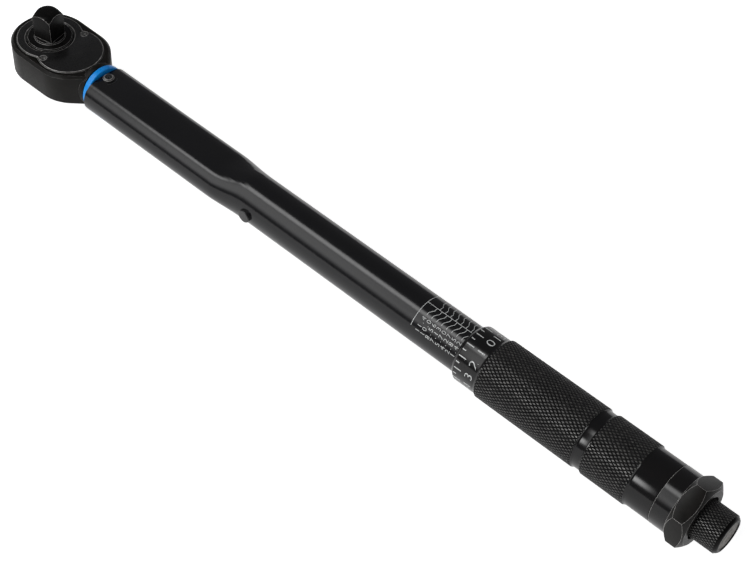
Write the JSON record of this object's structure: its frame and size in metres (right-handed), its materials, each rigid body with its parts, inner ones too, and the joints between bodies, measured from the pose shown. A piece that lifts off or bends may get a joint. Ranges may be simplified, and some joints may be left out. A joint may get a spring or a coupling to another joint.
{
  "type": "torque wrench",
  "caption": "Click-type torque wrench with a reversible square-drive ratchet head, pressed tube body, knurled micrometer handle with scale, hex end nut and lock knob.",
  "frame": {"origin": "where the axis of the square drive crosses the axis of the tube, in the middle of the ratchet head", "axes": "+X along the tube from the head to the lock knob, +Z along the square drive away from the head, +Y to the side"},
  "size_m": [0.3859, 0.0346, 0.037],
  "materials": {
    "blackened_steel": "satin black oxide on a forged and ground head",
    "blackened_plate": "satin black oxide with a finer grain",
    "drive_steel": "hardened steel, dark satin oxide",
    "hardware_steel": "ground and polished steel",
    "gloss_tube": "gloss black plating on drawn tube",
    "blue_ring": "bright blue glossy",
    "grip_steel": "satin black oxide, knurled",
    "end_nut_steel": "satin black oxide, machined",
    "spring_steel": "oiled spring wire",
    "inner_steel": "bright machined and greased",
    "bronze": "machined bearing bronze"
  },
  "bodies": {
    "tube": {"tube": "gloss_tube", "neck_ring": "blue_ring", "pivot_pin": "hardware_steel", "guide_bush": "bronze", "side_pin": "hardware_steel", "adjusting_nut": "bronze", "nut_pins": "inner_steel", "main_spring": "spring_steel"},
    "head": {"head_body": "blackened_steel", "cover_plate": "blackened_plate", "cover_screws": "hardware_steel", "pawl_pin": "inner_steel"},
    "drive": {"drive_gear": "drive_steel", "detent_spring": "spring_steel"},
    "detent": {"detent_ball": "hardware_steel"},
    "pawl": {"pawl": "inner_steel"},
    "lever": {"reverse_lever": "blackened_plate", "lever_clip": "spring_steel", "pawl_plunger": "inner_steel", "pawl_spring": "spring_steel"},
    "plunger": {"plunger": "inner_steel"},
    "tilt_block": {"tilt_block": "inner_steel"},
    "spring_seat": {"spring_seat": "inner_steel", "thrust_ball": "inner_steel"},
    "handle": {"grip_sleeve": "grip_steel", "end_nut": "end_nut_steel", "adjusting_screw": "inner_steel"},
    "lock_knob": {"lock_knob": "end_nut_steel", "knob_clip": "spring_steel"},
    "lock_rod": {"lock_rod": "inner_steel"}
  },
  "joints": [
    {"name": "head_click", "type": "hinge", "parent": "tube", "child": "head", "pos_m": [0.0392, 0, 0], "axis": [0, 0, -1], "range_deg": [0, 2.4], "stiffness_Nm_per_rad": 20, "springref_deg": -8.59},
    {"name": "drive_turn", "type": "hinge", "parent": "head", "child": "drive", "pos_m": [0, 0, 0], "axis": [0, 0, 1], "continuous": true},
    {"name": "detent_press", "type": "slide", "parent": "drive", "child": "detent", "axis": [0.9806, 0.1959, 0], "range_m": [0, 0.0007], "stiffness_N_per_m": 2000, "springref_m": -0.001, "deforming": ["detent_spring"]},
    {"name": "reverse_turn", "type": "hinge", "parent": "head", "child": "lever", "pos_m": [0.0216, 0, 0], "axis": [0, 0, 1], "range_deg": [0, 50]},
    {"name": "pawl_rock", "type": "hinge", "parent": "head", "child": "pawl", "pos_m": [0.0168, 0, 0], "axis": [0, 0, 1], "range_deg": [-12.01, 0]},
    {"name": "plunger_slide", "type": "slide", "parent": "tube", "child": "plunger", "axis": [-1, 0, 0], "range_m": [0, 0.00081], "deforming": ["main_spring"]},
    {"name": "block_tilt", "type": "hinge", "parent": "plunger", "child": "tilt_block", "pos_m": [0.12085, 0, 0], "axis": [0, 0, 1], "range_deg": [0, 26.6]},
    {"name": "grip_travel", "type": "slide", "parent": "tube", "child": "spring_seat", "axis": [-1, 0, 0], "range_m": [0, 0.01779], "deforming": ["main_spring"]},
    {"name": "grip_turn", "type": "hinge", "parent": "spring_seat", "child": "handle", "pos_m": [0.25, 0, 0], "axis": [-1, 0, 0], "range_deg": [0, 2520]},
    {"name": "lock_knob_turn", "type": "hinge", "parent": "handle", "child": "lock_knob", "pos_m": [0.36, 0, 0], "axis": [-1, 0, 0], "range_deg": [0, 180]},
    {"name": "lock_rod_travel", "type": "slide", "parent": "handle", "child": "lock_rod", "axis": [-1, 0, 0], "range_m": [0, 0.000601]}
  ],
  "couplings": [
    {"joint": "pawl_rock", "follows": "reverse_turn", "ratio": -0.24},
    {"joint": "plunger_slide", "follows": "head_click", "m_per_rad": 0.019152},
    {"joint": "block_tilt", "follows": "head_click", "ratio": 11.052},
    {"joint": "grip_travel", "follows": "grip_turn", "m_per_rad": 0.00040425},
    {"joint": "lock_rod_travel", "follows": "lock_knob_turn", "m_per_rad": 0.00019099}
  ]
}
